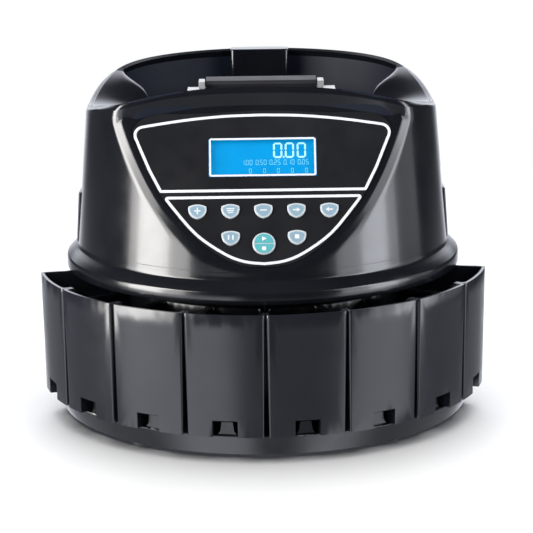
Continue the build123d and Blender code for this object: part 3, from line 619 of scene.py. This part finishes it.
def rounded_loop(corners, steps=6):
    """Closed loop through (x, s) points and (x, s, radius) corners with circular fillets."""
    loop = []
    n = len(corners)
    for i in range(n):
        x, s, r = (*corners[i], 0)[:3]
        if r == 0:
            loop.append((x, s))
            continue
        before, here, after = Vector(corners[i - 1][:2]), Vector((x, s)), Vector(corners[(i + 1) % n][:2])
        ua, ub = (before - here).normalized(), (after - here).normalized()
        half = ua.angle(ub) / 2
        reach = r / tan(half)
        centre = here + (ua + ub).normalized() * r / sin(half)
        a, b = here + ua * reach, here + ub * reach
        mid = centre + (here - centre).normalized() * r
        loop += arc(tuple(a), tuple(mid), tuple(b), steps) + [tuple(b)]
    return loop


def moved(outline, cx, cy):
    """Outline shifted to a place."""
    return [(cx + x, cy + y) for x, y in outline]


def shield(cx, cy, grow):
    """Outline of a small key."""
    w, top, low = 6.6 + grow, 4.0 + grow, -5.8 - grow
    loop = arc((-w, top), (0, 5.7 + grow), (w, top), 8)
    loop += arc((w, top), (w - 0.9, -2.0 - grow / 2), (0, low), 10)
    loop += arc((0, low), (0.9 - w, -2.0 - grow / 2), (-w, top), 10)
    return moved(loop, cx, cy)


def disc(cx, cy, r, steps=48):
    """Outline of a circle."""
    return [(cx + r * cos(2 * pi * i / steps), cy + r * sin(2 * pi * i / steps)) for i in range(steps)]


def box_outline(cx, cy, w, h):
    """Outline of an upright rectangle around a centre."""
    return moved([(-w / 2, -h / 2), (w / 2, -h / 2), (w / 2, h / 2), (-w / 2, h / 2)], cx, cy)


def both_sides(right):
    """Corners on the right half, listed downwards, completed with their mirror image."""
    return right + [(-x, *rest) for x, *rest in reversed(right) if x]


key_spots = [(x, KEY_ROW) for x in KEY_X] + [(KEY_X[1], KEY_LOW_ROW), (KEY_X[3], KEY_LOW_ROW)]


# ---------------------------------------------------------------- openings, lines and keys

def cut_openings():
    """Cut the display and key openings of the panel and the gap for the hinge leaf through the housing."""
    outlines = [box_outline(0, LCD_ROW, LCD_W + 2 * OPENING_GAP, LCD_H + 2 * OPENING_GAP),
                disc(0, START_ROW, START_R + OPENING_GAP)]
    outlines += [shield(x, s, OPENING_GAP) for x, s in key_spots]
    points, faces = prisms(outlines, -6, 2)
    first = len(points)
    for z in (HINGE_Z - HINGE_GAP_H / 2, HINGE_Z + HINGE_GAP_H / 2):
        points += [at(x, y, z) for x, y in box_outline(0, HINGE_Y, HINGE_GAP_W, HINGE_GAP_D)]
    sides = ((0, 1, 2, 3), (4, 5, 6, 7), (0, 1, 5, 4), (1, 2, 6, 5), (2, 3, 7, 6), (3, 0, 4, 7))
    faces += [tuple(first + k for k in side) for side in sides]
    cutter = new_object("openings", points, faces)
    cut = housing.modifiers.new("openings", "BOOLEAN")
    cut.object = cutter
    cut.solver = "EXACT"
    shown = housing.evaluated_get(bpy.context.evaluated_depsgraph_get())
    housing.data = bpy.data.meshes.new_from_object(shown)
    housing.modifiers.clear()
    bpy.data.objects.remove(cutter)


def make_lines():
    """Printed outline around the display and the keys, and the line around the display."""
    upper = both_sides([*rounded([(0, 124.9), (30, 124.0), (60, 121.0), (86, 117.0)]),
                        (98.0, 115.0, 6.5), (84.8, 82.0), (76.2, 64.5, 1.0)])
    lower = both_sides([(72.9, 59.2, 1.0),
                        *rounded([(68.2, 52.6), (50.0, 30.2), (29.4, 14.9), (14.6, 8.6), (0, 6.7)])])
    shape = ribbons([rounded_loop(upper), rounded_loop(lower)], 2.1, 0.5, 0.72)
    make_piece("panel_lines", shape, WHITE_INK, "upper_body")
    around = [(x, s, 1.2) for x, s in box_outline(0, LCD_ROW, 78.6, 29.2)]
    make_piece("display_frame_line", ribbons([rounded_loop(around)], 1.4, 0.1, 0.4), WHITE_INK,
               "upper_body")


SEGMENTS = {"0": "ABCDEF", "1": "BC", "2": "ABGED", "5": "AFGCD"}


def bar(x0, s0, x1, s1, thick):
    """Outline of one segment of a digit, pointed at both ends."""
    a, b = Vector((x0, s0)), Vector((x1, s1))
    u = (b - a).normalized()
    v = Vector((-u.y, u.x)) * thick / 2
    gap = u * 0.08 * thick
    a, b = a + gap, b - gap
    tip = u * thick / 2
    return [tuple(p) for p in (a, a + tip - v, b - tip - v, b, b - tip + v, a + tip + v)]


def digit(symbol, cx, low, w, h, thick):
    """Outlines of a seven segment digit standing on a base line."""
    x, mid, foot, head = w / 2 - thick / 2, h / 2, thick / 2, h - thick / 2
    ends = {"A": (-x, head, x, head), "B": (x, mid, x, head), "C": (x, foot, x, mid),
            "D": (-x, foot, x, foot), "E": (-x, foot, -x, mid), "F": (-x, mid, -x, head),
            "G": (-x, mid, x, mid)}
    return [moved(bar(*ends[segment], thick), cx, low) for segment in SEGMENTS[symbol]]


def make_digits():
    """Large total and, under it, five small counts of two rows, standing on the lit display."""
    total = [box_outline(15.9, 92.0, 1.2, 1.4)]
    for cx in (11.45, 20.25, 29.2):
        total += digit("0", cx, 91.2, 7.0, 12.4, 1.45)
    make_piece("display_total", prisms(total, -2.62, -2.4), SEGMENT, "upper_body")
    counts = []
    for cx, value in zip((-9.3, 1.3, 11.7, 22.2, 32.8), ("100", "050", "025", "010", "005")):
        for symbol, shift in zip(value, (-5.4, -2.2, 0.6)):
            counts += digit(symbol, cx + shift, 85.8, 2.1, 4.2, 0.42)
        counts.append(box_outline(cx - 3.85, 86.1, 0.5, 0.5))
        counts += digit("0", cx, 79.3, 2.1, 3.8, 0.45)
    make_piece("display_counts", prisms(counts, -2.62, -2.45), FAINT_SEGMENT, "upper_body")


def key_marks():
    """Outlines of the seven generic key symbols: plus, lines, minus, two arrows, pause and square."""
    arrow = [(-2.6, -0.5), (0.4, -0.5), (0.4, -1.8), (2.8, 0), (0.4, 1.8), (0.4, 0.5), (-2.6, 0.5)]
    marks = [
        [box_outline(0, 0, 4.6, 0.9), box_outline(0, 1.5, 0.9, 2.1), box_outline(0, -1.5, 0.9, 2.1)],
        [box_outline(0, 1.5, 6.0, 0.75), box_outline(0, 0, 5.2, 0.75), box_outline(0, -1.5, 4.0, 0.75)],
        [box_outline(0, 0, 5.0, 0.9)],
        [arrow],
        [[(-x, -s) for x, s in arrow]],
        [box_outline(-1.6, 0, 1.1, 3.6), box_outline(1.6, 0, 1.1, 3.6)],
        [box_outline(0, 0, 3.2, 3.2)],
    ]
    return [[moved(outline, 0, 0.4) for outline in mark] for mark in marks]


def make_keys():
    """Coloured faces and white symbols on the key caps, and on the start key in two halves."""
    for index, ((x, s), mark) in enumerate(zip(key_spots, key_marks()), start=1):
        body = f"key_{index}_cap"
        make_piece(f"key_{index}_face", prisms([shield(x, s, -1.25)], 1.8, 2.0), KEY, body)
        outlines = [moved(outline, x, s) for outline in mark]
        make_piece(f"key_{index}_mark", prisms(outlines, 1.9, 2.1), WHITE_INK, body)
    angles = [pi * i / 24 for i in range(25)]
    upper = [(7.0 * cos(angle), 0.4 + 7.0 * sin(angle)) for angle in angles]
    lower = [(x, -s) for x, s in reversed(upper)]
    halves = [moved(half, 0, START_ROW) for half in (upper, lower)]
    make_piece("key_start_face", prisms(halves, 1.9, 2.3), START, "start_cap")
    play = moved([(-1.4, 1.9), (2.2, 3.7), (-1.4, 5.5)], 0, START_ROW)
    stop = box_outline(0, START_ROW - 4.0, 3.0, 3.0)
    make_piece("key_start_mark", prisms([play, stop], 2.2, 2.4), WHITE_INK, "start_cap")


cut_openings()
make_lines()
make_digits()
make_keys()

# ---------------------------------------------------------------- stage

FLOOR_R, FLOOR_Y = 0.9, 0.1


def make_floor():
    """Pale floor that casts no shadow and that the object's gloss doesn't mirror."""
    bpy.ops.mesh.primitive_circle_add(vertices=128, radius=FLOOR_R, fill_type="NGON",
                                      location=(0, FLOOR_Y, 0))
    made = bpy.context.object
    made.name = "floor"
    made.data.materials.append(FLOOR)
    made.visible_glossy = False
    made.visible_shadow = False
    return made


floor = make_floor()
bpy.context.scene.view_settings.view_transform = "Standard"

# ---------------------------------------------------------------- world

world = bpy.data.worlds.new("studio")
bpy.context.scene.world = world
world.use_nodes = True
sky = world.node_tree


def sky_math(operation, *sources):
    """Result of a math node on numbers and sockets."""
    node = sky.nodes.new("ShaderNodeMath")
    node.operation = operation
    for place, source in enumerate(sources):
        if isinstance(source, (int, float)):
            node.inputs[place].default_value = source
        else:
            sky.links.new(source, node.inputs[place])
    return node.outputs[0]


def sky_step(source, lo, hi, a=0.0, b=1.0):
    """Value that eases from a to b while the source goes from lo to hi."""
    node = sky.nodes.new("ShaderNodeMapRange")
    node.interpolation_type = "SMOOTHSTEP"
    for name, value in (("From Min", lo), ("From Max", hi), ("To Min", a), ("To Max", b)):
        node.inputs[name].default_value = value
    sky.links.new(source, node.inputs["Value"])
    return node.outputs[0]


def sky_band(direction, rise, fall):
    """Band of 1 between two ranges of degrees, where it eases in and out."""
    eased_in = sky_step(direction, radians(rise[0]), radians(rise[1]))
    eased_out = sky_step(direction, radians(fall[0]), radians(fall[1]), 1.0, 0.0)
    return sky_math("MULTIPLY", eased_in, eased_out)


def sky_strength():
    """Brightness by direction: low sweeps at both sides, a glow from below and two sweeps at the back."""
    ray = sky.nodes.new("ShaderNodeTexCoord")
    split = sky.nodes.new("ShaderNodeSeparateXYZ")
    sky.links.new(ray.outputs["Generated"], split.inputs[0])
    ray_x, ray_y, ray_z = split.outputs
    around = sky_math("ARCTAN2", ray_x, sky_math("MULTIPLY", ray_y, -1.0))
    left_sweep = sky_band(around, (-90, -70), (-20, -10))
    right_sweep = sky_band(around, (38, 48), (72, 90))
    sweeps = sky_math("MULTIPLY", sky_math("ADD", left_sweep, right_sweep), 2.0)
    sides = sky_math("MULTIPLY", sweeps, sky_step(ray_z, -0.16, -0.05, 1.0, 0.0))
    floor_light = sky_math("ADD", sides, sky_step(ray_z, -0.20, -0.14, 0.30, 0.0))
    turned = sky_math("ABSOLUTE", around)
    near_level = sky_step(ray_z, 0.10, 0.25, 1.1, 0.0)
    near_sweep = sky_math("MULTIPLY", sky_step(turned, radians(148), radians(172)), near_level)
    high_level = sky_step(ray_z, 0.10, 0.25, 0.0, 2.3)
    high_sweep = sky_math("MULTIPLY", sky_step(turned, radians(135), radians(162)), high_level)
    high_faded = sky_math("MULTIPLY", high_sweep, sky_step(ray_z, 0.55, 0.8, 1.0, 0.0))
    behind = sky_math("ADD", near_sweep, high_faded)
    return sky_math("ADD", sky_math("ADD", floor_light, behind), 0.05)


def light_world():
    """Cool sweeps for the object, and plain white behind it for the camera."""
    backdrop = sky.nodes["Background"]
    seen = sky.nodes.new("ShaderNodeLightPath")
    level = sky.nodes.new("ShaderNodeMix")
    sky.links.new(seen.outputs["Is Camera Ray"], level.inputs[0])
    sky.links.new(sky_strength(), level.inputs[2])
    level.inputs[3].default_value = 1.0
    sky.links.new(level.outputs[0], backdrop.inputs["Strength"])
    shade = sky.nodes.new("ShaderNodeMix")
    shade.data_type = "RGBA"
    sky.links.new(seen.outputs["Is Camera Ray"], shade.inputs[0])
    shade.inputs[COLOUR_A].default_value = (0.92, 0.955, 1.05, 1)
    shade.inputs[COLOUR_B].default_value = (1, 1, 1, 1)
    sky.links.new(shade.outputs[COLOUR_RESULT], backdrop.inputs["Color"])


light_world()

# ---------------------------------------------------------------- lamps

SOFTBOX_DISTANCE, SOFTBOX_HEIGHT, SOFTBOX_FOOT = 1.1, 1.2, -0.01
WARM, COOL = (1.0, 0.985, 0.965), (0.90, 0.94, 1.0)
OVERHEAD_Z, OVERHEAD_SIZE = 2.0, 3.0


def lamp(name, place, aim, width, height, radiance, tint=(1, 1, 1)):
    """Rectangular lamp at a place in metres around the spindle, shining along aim."""
    light = bpy.data.lights.new(name, "AREA")
    light.shape = "RECTANGLE"
    light.size, light.size_y = width, height
    light.energy = radiance * pi * width * height
    light.color = tint
    holder = bpy.data.objects.new(name, light)
    bpy.context.scene.collection.objects.link(holder)
    holder.location = at(0, 0, 0) + Vector(place)
    holder.rotation_mode = "QUATERNION"
    holder.rotation_quaternion = Vector(aim).to_track_quat("-Z", "Y")
    return holder


def softbox(name, heading, half_width, radiance, tint):
    """Upright lamp at a heading in degrees, facing the spindle, that leaves the floor unlit."""
    a = radians(heading)
    width = 2 * SOFTBOX_DISTANCE * tan(radians(half_width))
    place = (sin(a) * SOFTBOX_DISTANCE, -cos(a) * SOFTBOX_DISTANCE, SOFTBOX_FOOT + SOFTBOX_HEIGHT / 2)
    holder = lamp(name, place, (-sin(a), cos(a), 0), width, SOFTBOX_HEIGHT, radiance, tint)
    spared = bpy.data.collections.new(name + "_spares")
    spared.objects.link(floor)
    holder.light_linking.receiver_collection = spared
    spared.collection_objects[0].light_linking.link_state = "EXCLUDE"


softbox("key_left_wide", -64, 21.5, 7.0, WARM)
softbox("key_left_core", -67, 11, 10, WARM)
softbox("fill_right_wide", 64, 22, 3.2, COOL)
softbox("fill_right_core", 68, 9.5, 4.5, COOL)
softbox("fill_right_faint", 95, 12, 0.8, COOL)
overhead = lamp("overhead", (0, 0, OVERHEAD_Z), (0, 0, -1), OVERHEAD_SIZE, OVERHEAD_SIZE, 3.2)
overhead.visible_glossy = False

# ---------------------------------------------------------------- camera

# The camera looks from the front, a little above, at a point on the spindle, which lies off the view's centre
CAMERA_DISTANCE, CAMERA_AIM_Z, CAMERA_LENS = 1.849, 137, 156.732
CAMERA_ELEVATION, CAMERA_YAW, CAMERA_ROLL = radians(12.597), radians(-0.424), radians(-0.698)
CENTRE_RIGHT, CENTRE_UP = 0.0017238, -0.0153415


def make_camera():
    """Camera that is rolled first, and then turned until its aim lies beside the centre of the view."""
    lens = bpy.data.cameras.new("camera")
    lens.sensor_width = 36.0
    lens.lens = CAMERA_LENS
    camera = bpy.data.objects.new("camera", lens)
    bpy.context.scene.collection.objects.link(camera)
    bpy.context.scene.camera = camera
    back = Vector((sin(CAMERA_YAW) * cos(CAMERA_ELEVATION), -cos(CAMERA_YAW) * cos(CAMERA_ELEVATION),
                   sin(CAMERA_ELEVATION)))
    camera.location = at(0, 0, CAMERA_AIM_Z) + back * CAMERA_DISTANCE
    right = Vector((0, 0, 1)).cross(back).normalized()
    up = back.cross(right)
    rolled_right = right * cos(CAMERA_ROLL) + up * sin(CAMERA_ROLL)
    rolled_up = up * cos(CAMERA_ROLL) - right * sin(CAMERA_ROLL)
    ahead = (rolled_right * CENTRE_RIGHT + rolled_up * CENTRE_UP - back).normalized()
    side = ahead.cross(rolled_up).normalized()
    camera.rotation_mode = "QUATERNION"
    camera.rotation_quaternion = Matrix((side, side.cross(ahead), -ahead)).transposed().to_quaternion()


make_camera()
